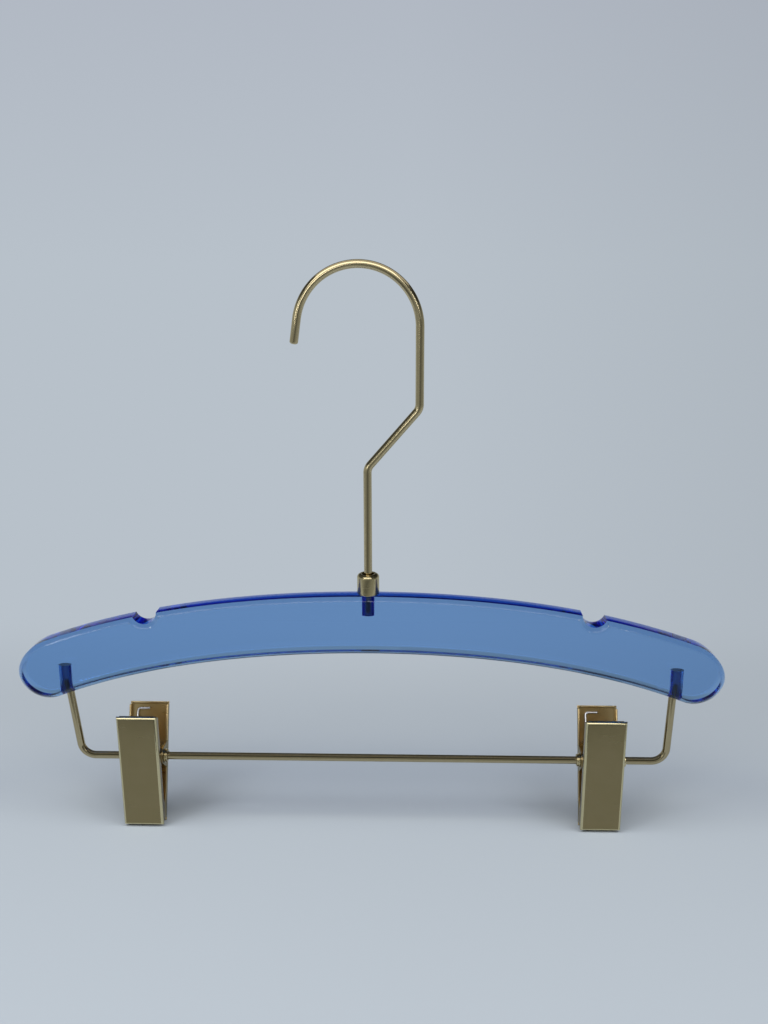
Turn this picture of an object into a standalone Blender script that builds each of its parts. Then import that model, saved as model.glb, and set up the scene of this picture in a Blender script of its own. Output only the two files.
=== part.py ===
# Clip hanger: a clear tinted arched blade under a swivel wire hook, with a wire
# bar below it that carries two sprung sheet metal clips.
# Units are metres. +X runs to the right along the blade, +Y away from the viewer
# and +Z up. The origin is on the inside of the hook, straight above its stem.

import math

import bmesh
import bpy
from mathutils import Matrix, Vector

# General clearances
RUN_GAP = 0.0003
WELD_DISTANCE = 0.00001
CUT_MARGIN = 0.002
BORE_SIDES = 24
TURN_STEPS = 24
WIRE_ROUND_STEPS = 2
SHARP_ANGLE = math.radians(32)

# Hook: plated wire with a half round crook, a jogged neck and a formed head
HOOK_WIRE = 0.0040
HOOK_INNER_RADIUS = 0.0265
HOOK_CENTRE_X = -0.0039
HOOK_HEIGHT = 0.1545
HOOK_ARC_END = math.radians(172.0)
HOOK_TAIL = 0.0096
NECK_LOW = 0.0627
NECK_HIGH = 0.0909
NECK_BEND = 0.0060
HEAD_OVERLAP = 0.0007
HEAD_THICKNESS = 0.0025
HEAD_SHOULDER = 0.0003
HOOK_ARC_STEPS = 20
NECK_STEPS = 5
TIP_STATIONS = (35, 60, 82)

# Blade: a band of constant height bent along an arch, with a full round at both ends
BLADE_WIDTH = 0.3500
BLADE_HEIGHT = 0.0293
BLADE_THICKNESS = 0.0121
BLADE_BEVEL = 0.00195
ARCH_DROP = 0.0251
ARCH_SQUARENESS = 0.222
END_SHOULDER = 0.0060
BLADE_STEPS = 24
END_STEPS = 14
ARCH_SEARCH_ROUNDS = 20

# Notches in the blade's top edge for straps, set in from the blade's ends
NOTCH_INSET = 0.0650
NOTCH_RADIUS = 0.0062
NOTCH_DEPTH = 0.0048
NOTCH_STEPS = 10

# Blind bores in the blade: one for the stud, two for the bar's legs
HOOK_BORE_DEPTH = 0.0100
STUD_PLAY = 0.0014
END_BORE_INSET = 0.0232
END_BORE_DEPTH = 0.0149
LEG_PLAY = 0.0013
LEG_SEAT_GAP = 0.0005

# Collar and stud that hold the hook's head
COLLAR_HEIGHT = 0.0103
COLLAR_ROUND = 0.0018
COLLAR_FOOT = 0.0005
COLLAR_LID = 0.0030
COLLAR_WALL = 0.00125
COLLAR_TURN_STEPS = 32
COLLAR_ROUND_STEPS = 5
STEM_PLAY = 0.00105
HEAD_PLAY = 0.0004
STUD_FLANGE = 0.0020
STUD_RADIUS = 0.0017
STUD_END_GAP = 0.0006

# Clip bar: one wire bent to a U, sprung into the two end bores
BAR_WIRE = 0.0038
BAR_DROP = 0.0878
BAR_LEG_LEAN = 0.0027
BAR_SHIFT = 0.0013
BAR_BEND = 0.0075
BAR_INSERT = 0.0062
BAR_BEND_STEPS = 7

# Clips: place on the bar from its corners, and swing away behind the blade
LEFT_CLIP_INSET = 0.0315
RIGHT_CLIP_INSET = 0.0324
CLIP_SWING = math.radians(8.1)

# Leaves: folded sheet, measured from the pivot
SHEET = 0.0009
LEAF_WIDTH = 0.0203
FACE_OFFSET = 0.01036
LEAF_TOP = 0.0265
LEAF_BOTTOM = -0.0344
FOLD_INNER = 0.0006
FOLD_SEGMENTS = 3
FLANGE_DEPTH = 0.0040
LIP_DEPTH = 0.0022
JAW_DEPTH = 0.00415
JAW_GAP = 0.0003
JAW_LENGTH = 0.0094
JAW_RAMP = 0.0040
RELIEF_SIZE = 0.0016
EAR_RISE = 0.0068
EAR_WALL = 0.0011
EAR_STEPS = 10
JOGGLE_SETBACK = 0.0006

# Pivot tubes: a turned tube with a shoulder and a rolled rim at each end
TUBE_WALL = 0.0005
SHOULDER_STEP = 0.0009
SHOULDER_THICKNESS = 0.0007
RIM_STEP = 0.0004
RIM_LENGTH = 0.0011

# Springs: round wire wound on the tube, with an arm behind each leaf
SPRING_WIRE = 0.00125
SPRING_COIL_GAP = 0.00055
SPRING_END_PLAY = 0.0014
SPRING_TURN_POINTS = 9
SPRING_ARM_BELOW_TOP = 0.0036
SPRING_FOOT = 0.0061
SPRING_BEND = 0.0014
SPRING_BEND_STEPS = 3
SPRING_ROUND_STEPS = 1

# Finishes: each metal's colour and roughness, and the acrylic's colour and shader values
WIRE_FINISH = ((0.62, 0.53, 0.34), 0.20)
TURNING_FINISH = ((0.60, 0.52, 0.34), 0.25)
SHEET_FINISH = ((0.50, 0.42, 0.25), 0.30)
SPRING_FINISH = ((0.80, 0.80, 0.80), 0.18)
ACRYLIC_COLOUR = (0.10, 0.25, 0.55)
ACRYLIC_FINISH = {"Roughness": 0.04, "IOR": 1.49, "Alpha": 0.45}

# Values that follow from those above
HOOK_RADIUS = HOOK_INNER_RADIUS + HOOK_WIRE / 2
HOOK_CENTRE_Z = -math.sqrt(HOOK_INNER_RADIUS ** 2 - HOOK_CENTRE_X ** 2)
BLADE_TOP_Z = -HOOK_HEIGHT
END_CENTRE_X = (BLADE_WIDTH - BLADE_HEIGHT) / 2
NOTCH_X = BLADE_WIDTH / 2 - NOTCH_INSET
END_BORE_X = BLADE_WIDTH / 2 - END_BORE_INSET
END_BORE_RADIUS = BAR_WIRE / 2 + LEG_PLAY
HOOK_BORE_RADIUS = STUD_RADIUS + STUD_PLAY
COLLAR_HOLE = HOOK_WIRE / 2 + STEM_PLAY
HEAD_RADIUS = COLLAR_HOLE + HEAD_OVERLAP
CHAMBER_RADIUS = HEAD_RADIUS + HEAD_PLAY
COLLAR_RADIUS = CHAMBER_RADIUS + COLLAR_WALL
STUD_FLANGE_RADIUS = CHAMBER_RADIUS - RUN_GAP
BAR_Z = BLADE_TOP_Z - BAR_DROP
LEG_BEARING_X = END_BORE_X - LEG_PLAY + LEG_SEAT_GAP
BAR_HALF_WIDTH = LEG_BEARING_X - BAR_LEG_LEAN
LEFT_CLIP_X = BAR_SHIFT - BAR_HALF_WIDTH + LEFT_CLIP_INSET
RIGHT_CLIP_X = BAR_SHIFT + BAR_HALF_WIDTH - RIGHT_CLIP_INSET
LEAF_TILT = math.atan((FACE_OFFSET - JAW_DEPTH) / -LEAF_BOTTOM)
FOLD_RADIUS = FOLD_INNER + SHEET
PLATE_INSET = SHEET / 2
JOGGLE_INSET = SHEET / 3
JOGGLE_DEPTH = FLANGE_DEPTH - JOGGLE_SETBACK
TUBE_BORE = BAR_WIRE / 2 + RUN_GAP
TUBE_RADIUS = TUBE_BORE + TUBE_WALL
SHOULDER_RADIUS = TUBE_RADIUS + SHOULDER_STEP
RIM_RADIUS = TUBE_RADIUS + RIM_STEP
EAR_RADIUS = TUBE_RADIUS + RUN_GAP + EAR_WALL
EAR_INSIDE = LEAF_WIDTH / 2 - 2 * SHEET - RUN_GAP
SPRING_RADIUS = TUBE_RADIUS + RUN_GAP + SPRING_WIRE / 2
SPRING_ARM_X = EAR_INSIDE - SPRING_END_PLAY - SPRING_WIRE / 2

FRONT_PLANE = Matrix.Rotation(math.pi / 2, 4, "X")
SIDE_PLANE = Matrix(((0, 0, 1, 0), (1, 0, 0, 0), (0, 1, 0, 0), (0, 0, 0, 1)))
ALONG_X = Matrix.Rotation(math.pi / 2, 4, "Y")


def clear_scene():
    for item in list(bpy.data.objects):
        bpy.data.objects.remove(item)


def new_collection(name):
    collection = bpy.data.collections.new(name)
    bpy.context.scene.collection.children.link(collection)
    return collection


def metal(name, colour, roughness):
    material = bpy.data.materials.new(name)
    material.use_nodes = True
    shader = material.node_tree.nodes["Principled BSDF"]
    shader.inputs["Base Color"].default_value = (*colour, 1.0)
    shader.inputs["Metallic"].default_value = 1.0
    shader.inputs["Roughness"].default_value = roughness
    return material


def clear_plastic(name, colour, finish):
    material = bpy.data.materials.new(name)
    material.use_nodes = True
    shader = material.node_tree.nodes["Principled BSDF"]
    shader.inputs["Base Color"].default_value = (*colour, 1.0)
    for socket, value in finish.items():
        shader.inputs[socket].default_value = value
    return material


def add_part(part, material):
    parts.objects.link(part)
    part.data.materials.append(material)
    if part.type == "MESH":
        part.data.shade_smooth()
        part.data.set_sharp_from_angle(angle=SHARP_ANGLE)
    return part


def add_cutter(cutter, part):
    cutters.objects.link(cutter)
    cutter.hide_render = True
    cutter.display_type = "WIRE"
    cutter.parent = part
    return cutter


def apply_tool(part, operation, tool):
    modifier = part.modifiers.new(operation.lower(), "BOOLEAN")
    modifier.operation = operation
    modifier.object = add_cutter(tool, part)


def mesh_from_bmesh(name, shape):
    bmesh.ops.recalc_face_normals(shape, faces=shape.faces)
    mesh = bpy.data.meshes.new(name)
    shape.to_mesh(mesh)
    shape.free()
    return bpy.data.objects.new(name, mesh)


# A straight round bar from low to high on its own Z axis
def cylinder(name, radius, low, high):
    shape = bmesh.new()
    bmesh.ops.create_cone(
        shape, cap_ends=True, segments=BORE_SIDES, radius1=radius, radius2=radius, depth=high - low
    )
    bmesh.ops.translate(shape, verts=shape.verts, vec=(0, 0, (low + high) / 2))
    return mesh_from_bmesh(name, shape)


# A box between two opposite corners
def add_box(shape, low, high):
    low = Vector(low)
    high = Vector(high)
    made = bmesh.ops.create_cube(shape, size=1.0)
    bmesh.ops.scale(shape, verts=made["verts"], vec=high - low)
    bmesh.ops.translate(shape, verts=made["verts"], vec=(low + high) / 2)


# A flat outline given thickness, as one closed mesh in the plane it is drawn in
def prism(name, outline, thickness, plane, bevel=0.0):
    curve = bpy.data.curves.new(name, "CURVE")
    curve.dimensions = "2D"
    curve.fill_mode = "BOTH"
    curve.extrude = thickness / 2 - bevel
    curve.bevel_depth = bevel
    curve.bevel_resolution = 0
    curve.offset = -bevel
    spline = curve.splines.new("POLY")
    spline.points.add(len(outline) - 1)
    for point, (across, up) in zip(spline.points, outline):
        point.co = (across, up, 0, 1)
    spline.use_cyclic_u = True
    return curve_to_mesh(name, curve, plane)


def curve_to_mesh(name, curve, plane):
    source = bpy.data.objects.new(name + "_outline", curve)
    bpy.context.scene.collection.objects.link(source)
    depsgraph = bpy.context.evaluated_depsgraph_get()
    mesh = bpy.data.meshes.new_from_object(source.evaluated_get(depsgraph))
    bpy.data.objects.remove(source)
    shape = bmesh.new()
    shape.from_mesh(mesh)
    bmesh.ops.remove_doubles(shape, verts=shape.verts, dist=WELD_DISTANCE)
    bmesh.ops.transform(shape, matrix=plane, verts=shape.verts)
    return mesh_from_bmesh(name, shape)


# A round wire along 3-D points, with a radius factor for each point where they are given
def wire(name, points, diameter, roundness, radii=None):
    curve = bpy.data.curves.new(name, "CURVE")
    curve.dimensions = "3D"
    curve.bevel_depth = diameter / 2
    curve.bevel_resolution = roundness
    curve.use_fill_caps = True
    spline = curve.splines.new("POLY")
    spline.points.add(len(points) - 1)
    for index, point in enumerate(points):
        spline.points[index].co = (*point, 1)
        spline.points[index].radius = radii[index] if radii else 1.0
    spline.use_smooth = True
    return bpy.data.objects.new(name, curve)


# A profile of radius and height pairs turned about Z; a closed one joins its last pair to its first
def turned(name, profile, steps, closed):
    shape = bmesh.new()
    corners = [shape.verts.new((radius, 0, height)) for radius, height in profile]
    for first, second in zip(corners, corners[1:]):
        shape.edges.new((first, second))
    if closed:
        shape.edges.new((corners[-1], corners[0]))
    mesh = bpy.data.meshes.new(name)
    shape.to_mesh(mesh)
    shape.free()
    item = bpy.data.objects.new(name, mesh)
    screw = item.modifiers.new("turn", "SCREW")
    screw.steps = steps
    screw.render_steps = steps
    screw.use_merge_vertices = True
    screw.merge_threshold = WELD_DISTANCE
    screw.use_smooth_shade = True
    return item


# Points of an arc in a plane, ends included
def arc(centre, radius, start, end, steps):
    return [
        (
            centre[0] + radius * math.cos(start + (end - start) * step / steps),
            centre[1] + radius * math.sin(start + (end - start) * step / steps),
        )
        for step in range(steps + 1)
    ]


# A path of straight runs whose inner corners are rounded to one radius
def rounded_path(corners, radius, steps):
    points = [Vector(corners[0])]
    for before, corner, after in zip(corners, corners[1:], corners[2:]):
        corner = Vector(corner)
        back = (Vector(before) - corner).normalized()
        ahead = (Vector(after) - corner).normalized()
        half_angle = back.angle(ahead) / 2
        setback = radius / math.tan(half_angle)
        centre = corner + (back + ahead).normalized() * radius / math.sin(half_angle)
        first = corner + back * setback - centre
        last = corner + ahead * setback - centre
        turn = first.angle(last)
        for step in range(steps + 1):
            share = step / steps
            blend = first * math.sin((1 - share) * turn) + last * math.sin(share * turn)
            points.append(centre + blend / math.sin(turn))
    points.append(Vector(corners[-1]))
    return points


# Least free gap between stretches of a wire that don't follow each other
def least_gap(points, diameter, skip):
    best = math.inf
    for index, point in enumerate(points):
        for other in range(index + skip, len(points) - 1):
            start, end = points[other], points[other + 1]
            span = end - start
            share = max(0.0, min(1.0, (point - start).dot(span) / span.length_squared))
            best = min(best, (point - start - span * share).length)
    return best - diameter


def arch_z(x):
    share = abs(x) / END_CENTRE_X
    curve = (1 - ARCH_SQUARENESS) * share ** 2 + ARCH_SQUARENESS * share ** 4
    return BLADE_TOP_Z - BLADE_HEIGHT / 2 - ARCH_DROP * curve


def arch_slope(x):
    share = x / END_CENTRE_X
    curve = 2 * (1 - ARCH_SQUARENESS) * share + 4 * ARCH_SQUARENESS * share ** 3
    return -ARCH_DROP * curve / END_CENTRE_X


# Point beside the arch: side 1 is the top edge, side -1 the bottom edge
def edge_point(x, side):
    angle = math.atan(arch_slope(x))
    reach = side * BLADE_HEIGHT / 2
    return (x - reach * math.sin(angle), arch_z(x) + reach * math.cos(angle))


# Place on the arch whose edge point stands at the given X
def arch_under(edge_x, side):
    x = edge_x
    for _ in range(ARCH_SEARCH_ROUNDS):
        x += edge_x - edge_point(x, side)[0]
    return x


def notch_points(x):
    on_arch = arch_under(x, 1)
    angle = math.atan(arch_slope(on_arch))
    edge = edge_point(on_arch, 1)
    lift = NOTCH_RADIUS - NOTCH_DEPTH
    centre = (edge[0] - lift * math.sin(angle), edge[1] + lift * math.cos(angle))
    opening = math.asin(lift / NOTCH_RADIUS)
    start = math.pi + opening + angle
    end = 2 * math.pi - opening + angle
    return arc(centre, NOTCH_RADIUS, start, end, NOTCH_STEPS)


# Right hand end of the band in its leaning frame: a drawn out upper quarter, round below
def end_points():
    lean = math.atan(arch_slope(END_CENTRE_X))
    radius = BLADE_HEIGHT / 2
    points = []
    for step in range(END_STEPS + 1):
        angle = math.pi / 2 - math.pi * step / END_STEPS
        shoulder = END_SHOULDER if angle > 0 else 0.0
        along = (radius + shoulder) * math.cos(angle) - shoulder
        across = radius * math.sin(angle)
        x = END_CENTRE_X + along * math.cos(lean) - across * math.sin(lean)
        z = arch_z(END_CENTRE_X) + along * math.sin(lean) + across * math.cos(lean)
        points.append((x, z))
    return points


# Right half of the outline from the middle of the top edge to the middle of the bottom
def half_outline():
    stations = [END_CENTRE_X * step / BLADE_STEPS for step in range(BLADE_STEPS + 1)]
    notch = notch_points(NOTCH_X)
    spacing = END_CENTRE_X / BLADE_STEPS
    top = [edge_point(x, 1) for x in stations if x < END_CENTRE_X - END_SHOULDER - spacing / 2]
    before = [point for point in top if point[0] < notch[0][0] - spacing / 2]
    after = [point for point in top if point[0] > notch[-1][0] + spacing / 2]
    bottom = [edge_point(x, -1) for x in reversed(stations)]
    return before + notch + after + end_points() + bottom[1:]


def blade_outline():
    right = half_outline()
    left = [(-x, z) for x, z in reversed(right[1:-1])]
    return right + left


def end_bore_mouth():
    return edge_point(arch_under(END_BORE_X, -1), -1)[1]


def make_blade():
    blade = prism("blade", blade_outline(), BLADE_THICKNESS, FRONT_PLANE, BLADE_BEVEL)
    add_part(blade, acrylic)
    hook_bore = cylinder(
        "hook_bore", HOOK_BORE_RADIUS, BLADE_TOP_Z - HOOK_BORE_DEPTH, BLADE_TOP_Z + CUT_MARGIN
    )
    apply_tool(blade, "DIFFERENCE", hook_bore)
    mouth = end_bore_mouth()
    for side in (-1, 1):
        end_bore = cylinder(
            "end_bore", END_BORE_RADIUS, mouth - 2 * CUT_MARGIN, mouth + END_BORE_DEPTH
        )
        end_bore.data.transform(Matrix.Translation((side * END_BORE_X, 0, 0)))
        apply_tool(blade, "DIFFERENCE", end_bore)


def make_hook():
    neck_x = HOOK_CENTRE_X + HOOK_RADIUS
    ceiling = BLADE_TOP_Z + RUN_GAP + COLLAR_HEIGHT - COLLAR_LID
    head_top = ceiling - RUN_GAP
    head_low = head_top - HEAD_THICKNESS
    neck = rounded_path(
        [
            (0, 0, head_top + HEAD_SHOULDER),
            (0, 0, BLADE_TOP_Z + NECK_LOW),
            (neck_x, 0, BLADE_TOP_Z + NECK_HIGH),
            (neck_x, 0, HOOK_CENTRE_Z),
        ],
        NECK_BEND,
        NECK_STEPS,
    )
    crook = arc((HOOK_CENTRE_X, HOOK_CENTRE_Z), HOOK_RADIUS, 0.0, HOOK_ARC_END, HOOK_ARC_STEPS)
    tail_way = Vector((-math.sin(HOOK_ARC_END), 0, math.cos(HOOK_ARC_END)))
    tail_start = Vector((crook[-1][0], 0, crook[-1][1]))
    tail_end = tail_start + tail_way * HOOK_TAIL
    points = [Vector((0, 0, head_low)), Vector((0, 0, head_top))]
    radii = [HEAD_RADIUS / (HOOK_WIRE / 2)] * 2
    points += neck + [Vector((x, 0, z)) for x, z in crook[1:]] + [tail_end]
    radii += [1.0] * (len(points) - len(radii))
    for degrees in TIP_STATIONS:
        angle = math.radians(degrees)
        points.append(tail_end + tail_way * HOOK_WIRE / 2 * math.sin(angle))
        radii.append(math.cos(angle))
    add_part(wire("hook", points, HOOK_WIRE, WIRE_ROUND_STEPS, radii), plated_wire)


def make_collar():
    foot = BLADE_TOP_Z + RUN_GAP
    top = foot + COLLAR_HEIGHT
    shoulder = arc(
        (COLLAR_RADIUS - COLLAR_ROUND, top - COLLAR_ROUND),
        COLLAR_ROUND, math.pi / 2, 0.0, COLLAR_ROUND_STEPS,
    )
    profile = [(COLLAR_HOLE, top)] + shoulder + [
        (COLLAR_RADIUS, foot + COLLAR_FOOT),
        (COLLAR_RADIUS - COLLAR_FOOT, foot),
        (CHAMBER_RADIUS, foot),
        (CHAMBER_RADIUS, top - COLLAR_LID),
        (COLLAR_HOLE, top - COLLAR_LID),
    ]
    add_part(turned("collar", profile, COLLAR_TURN_STEPS, True), turned_metal)


def make_stud():
    seat = BLADE_TOP_Z + RUN_GAP
    profile = [
        (0.0, seat + STUD_FLANGE),
        (STUD_FLANGE_RADIUS, seat + STUD_FLANGE),
        (STUD_FLANGE_RADIUS, seat),
        (STUD_RADIUS, seat),
        (STUD_RADIUS, BLADE_TOP_Z - HOOK_BORE_DEPTH + STUD_END_GAP),
        (0.0, BLADE_TOP_Z - HOOK_BORE_DEPTH + STUD_END_GAP),
    ]
    add_part(turned("stud", profile, TURN_STEPS, False), turned_metal)


# The legs lean out from the bar and bear on the inner walls of their bores
def make_clip_bar():
    mouth = end_bore_mouth()
    ends = []
    for side in (-1, 1):
        corner = Vector((BAR_SHIFT + side * BAR_HALF_WIDTH, 0, BAR_Z))
        bearing = Vector((side * LEG_BEARING_X, 0, mouth))
        tip = bearing + (bearing - corner).normalized() * BAR_INSERT
        ends.append((corner, tip))
    corners = [ends[0][1], ends[0][0], ends[1][0], ends[1][1]]
    points = rounded_path(corners, BAR_BEND, BAR_BEND_STEPS)
    add_part(wire("clip_bar", points, BAR_WIRE, WIRE_ROUND_STEPS), plated_wire)


# Distance from a leaf's outer face to the plane where the two jaws meet
def jaw_reach(height):
    meeting = FACE_OFFSET + height * math.tan(LEAF_TILT)
    return meeting - JAW_GAP / 2 / math.cos(LEAF_TILT)


# The two straight edges and round tip of an ear, from its high root to its low root
def ear_points(root_depth):
    span = FACE_OFFSET - root_depth
    distance = math.hypot(span, EAR_RISE)
    lean = math.atan2(EAR_RISE, -span) - math.acos(EAR_RADIUS / distance)
    tip = arc((FACE_OFFSET, 0.0), EAR_RADIUS, lean, -lean, EAR_STEPS)
    return [(root_depth, EAR_RISE)] + tip + [(root_depth, -EAR_RISE)]


# Side outline of a leaf as depth from its outer face and height along it
def leaf_outline(with_ears):
    high = LEAF_TOP + CUT_MARGIN
    low = LEAF_BOTTOM - CUT_MARGIN
    lip = LEAF_TOP - RELIEF_SIZE
    jaw = LEAF_BOTTOM + JAW_LENGTH
    outline = [(-CUT_MARGIN, high), (LIP_DEPTH, high), (LIP_DEPTH, lip), (FLANGE_DEPTH, lip)]
    if with_ears:
        outline += ear_points(FLANGE_DEPTH)
    outline += [
        (FLANGE_DEPTH, jaw + JAW_RAMP),
        (jaw_reach(jaw), jaw),
        (jaw_reach(low), low),
        (-CUT_MARGIN, low),
    ]
    return outline


# A box whose outer face, towards facing, has its four edges rounded
def fold_block(name, half_width, outer, inner, low, high, radius):
    shape = bmesh.new()
    add_box(
        shape, (-half_width, min(outer, inner), low), (half_width, max(outer, inner), high)
    )
    rim = [
        edge for edge in shape.edges
        if all(abs(corner.co.y - outer) < WELD_DISTANCE for corner in edge.verts)
    ]
    bmesh.ops.bevel(
        shape, geom=rim, offset=radius, offset_type="OFFSET", segments=FOLD_SEGMENTS, profile=0.5,
        affect="EDGES",
    )
    return mesh_from_bmesh(name, shape)


def side_prism(name, outline, facing, thickness):
    drawn = [(facing * (FACE_OFFSET - depth), height) for depth, height in outline]
    return prism(name, drawn, thickness, SIDE_PLANE)


# Open corners where the lips and flanges were cut before folding
def corner_relief(facing):
    shape = bmesh.new()
    half = LEAF_WIDTH / 2
    near = facing * (FACE_OFFSET - FOLD_RADIUS)
    far = -facing * FACE_OFFSET
    for side in (-1, 1):
        for height in (LEAF_TOP, LEAF_BOTTOM):
            x_values = sorted((side * (half - RELIEF_SIZE), side * (half + CUT_MARGIN)))
            inward = -math.copysign(RELIEF_SIZE, height)
            outward = math.copysign(CUT_MARGIN, height)
            z_values = sorted((height + inward, height + outward))
            y_values = sorted((near, far))
            low = (x_values[0], y_values[0], z_values[0])
            high = (x_values[1], y_values[1], z_values[1])
            add_box(shape, low, high)
    return mesh_from_bmesh("corner_relief", shape)


# The front leaf's ears, joggled in so that they run inside the rear leaf's ears
def inner_ears(facing):
    outline = [(PLATE_INSET, EAR_RISE)] + ear_points(FLANGE_DEPTH) + [(PLATE_INSET, -EAR_RISE)]
    shape = bmesh.new()
    plate = side_prism("ear_plate", outline, facing, SHEET)
    for side in (-1, 1):
        middle = side * (EAR_INSIDE + SHEET / 2)
        plate.data.transform(Matrix.Translation((middle, 0, 0)))
        shape.from_mesh(plate.data)
        plate.data.transform(Matrix.Translation((-middle, 0, 0)))
    bpy.data.objects.remove(plate)
    return mesh_from_bmesh("inner_ears", shape)


# The thick step between an inner ear and its flange
def joggle_roots(facing):
    shape = bmesh.new()
    half = LEAF_WIDTH / 2
    inner_x = EAR_INSIDE + JOGGLE_INSET
    for side in (-1, 1):
        x_values = sorted((side * inner_x, side * (half - PLATE_INSET)))
        y_values = sorted(
            (facing * (FACE_OFFSET - PLATE_INSET), facing * (FACE_OFFSET - JOGGLE_DEPTH))
        )
        rise = EAR_RISE - JOGGLE_INSET
        add_box(shape, (x_values[0], y_values[0], -rise), (x_values[1], y_values[1], rise))
    return mesh_from_bmesh("joggle_roots", shape)


def make_leaf(name, pivot, facing, inner):
    half = LEAF_WIDTH / 2
    outer = facing * FACE_OFFSET
    leaf = fold_block(
        name, half, outer, -facing * FACE_OFFSET, LEAF_BOTTOM, LEAF_TOP, FOLD_RADIUS
    )
    add_part(leaf, satin_leaf)
    leaf.parent = pivot
    leaf.rotation_euler = (-facing * LEAF_TILT, 0, 0)
    cavity = fold_block(
        "leaf_hollow",
        half - SHEET,
        facing * (FACE_OFFSET - SHEET),
        -facing * (FACE_OFFSET + CUT_MARGIN),
        LEAF_BOTTOM + SHEET,
        LEAF_TOP - SHEET,
        FOLD_RADIUS - SHEET,
    )
    apply_tool(leaf, "DIFFERENCE", cavity)
    trim = side_prism("leaf_trim", leaf_outline(not inner), facing, LEAF_WIDTH + 2 * CUT_MARGIN)
    apply_tool(leaf, "INTERSECT", trim)
    apply_tool(leaf, "DIFFERENCE", corner_relief(facing))
    if inner:
        apply_tool(leaf, "UNION", inner_ears(facing))
        apply_tool(leaf, "UNION", joggle_roots(facing))
    bore = cylinder("pivot_bore", TUBE_RADIUS + RUN_GAP, -half - CUT_MARGIN, half + CUT_MARGIN)
    bore.data.transform(ALONG_X)
    apply_tool(leaf, "DIFFERENCE", bore)


def make_pivot_tube(name, pivot):
    shoulder = LEAF_WIDTH / 2 + RUN_GAP
    rim = shoulder + SHOULDER_THICKNESS
    end = rim + RIM_LENGTH
    half_profile = [
        (TUBE_BORE, end),
        (RIM_RADIUS, end),
        (RIM_RADIUS, rim),
        (SHOULDER_RADIUS, rim),
        (SHOULDER_RADIUS, shoulder),
        (TUBE_RADIUS, shoulder),
    ]
    mirrored = [(radius, -height) for radius, height in reversed(half_profile)]
    tube = turned(name, half_profile + mirrored, TURN_STEPS, True)
    add_part(tube, turned_metal)
    tube.parent = pivot
    tube.rotation_euler = (0, math.pi / 2, 0)


# Place beside the pivot, in a leaf's own frame turned to the clip's frame
def leaf_place(x, inward, height, facing):
    across = inward * math.cos(LEAF_TILT) + height * math.sin(LEAF_TILT)
    up = -inward * math.sin(LEAF_TILT) + height * math.cos(LEAF_TILT)
    return Vector((x, facing * across, up))


def spring_points():
    arm_depth = FACE_OFFSET - SHEET - RUN_GAP - SPRING_WIRE / 2
    arm_height = LEAF_TOP - SPRING_ARM_BELOW_TOP
    distance = math.hypot(arm_depth, arm_height)
    leave = LEAF_TILT + math.atan2(arm_depth, arm_height) + math.acos(SPRING_RADIUS / distance)
    turns = math.floor(2 * SPRING_ARM_X / (SPRING_WIRE + SPRING_COIL_GAP) + leave / math.pi)
    sweep = 2 * math.pi * turns - 2 * leave
    count = round(sweep / (2 * math.pi) * SPRING_TURN_POINTS)
    coil = []
    for step in range(count + 1):
        angle = -leave - sweep * step / count
        x = SPRING_ARM_X - 2 * SPRING_ARM_X * step / count
        coil.append(Vector((x, SPRING_RADIUS * math.sin(angle), SPRING_RADIUS * math.cos(angle))))
    front = [
        leaf_place(SPRING_ARM_X - SPRING_FOOT, arm_depth, arm_height, -1),
        leaf_place(SPRING_ARM_X, arm_depth, arm_height, -1),
        coil[0],
    ]
    rear = [
        coil[-1],
        leaf_place(-SPRING_ARM_X, arm_depth, arm_height, 1),
        leaf_place(-SPRING_ARM_X + SPRING_FOOT, arm_depth, arm_height, 1),
    ]
    front_arm = rounded_path(front, SPRING_BEND, SPRING_BEND_STEPS)
    rear_arm = rounded_path(rear, SPRING_BEND, SPRING_BEND_STEPS)
    return front_arm[:-1] + coil + rear_arm[1:]


def make_spring(name, pivot):
    points = spring_points()
    gap = least_gap(points, SPRING_WIRE, SPRING_TURN_POINTS // 2)
    print(name, "least gap of the wire to itself: %.2f mm" % (gap * 1000))
    add_part(wire(name, points, SPRING_WIRE, SPRING_ROUND_STEPS), spring_steel)
    bpy.data.objects[name].parent = pivot


def make_clip(side, x):
    pivot = bpy.data.objects.new(side + "_clip_pivot", None)
    parts.objects.link(pivot)
    pivot.location = (x, 0, BAR_Z)
    pivot.rotation_euler = (-CLIP_SWING, 0, 0)
    make_pivot_tube(side + "_pivot_tube", pivot)
    make_leaf(side + "_rear_leaf", pivot, 1, False)
    make_leaf(side + "_front_leaf", pivot, -1, True)
    make_spring(side + "_spring", pivot)


clear_scene()
parts = new_collection("clip_hanger")
cutters = new_collection("cutters")

acrylic = clear_plastic("tinted_acrylic", ACRYLIC_COLOUR, ACRYLIC_FINISH)
plated_wire = metal("champagne_plated_wire", *WIRE_FINISH)
turned_metal = metal("champagne_plated_turnings", *TURNING_FINISH)
satin_leaf = metal("champagne_satin_sheet", *SHEET_FINISH)
spring_steel = metal("bright_spring_steel", *SPRING_FINISH)

make_hook()
make_collar()
make_stud()
make_blade()
make_clip_bar()
make_clip("left", LEFT_CLIP_X)
make_clip("right", RIGHT_CLIP_X)
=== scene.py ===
from contextlib import contextmanager
import math

import bmesh
import bpy
from mathutils import Matrix, Vector
from mathutils.geometry import intersect_point_line


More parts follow.
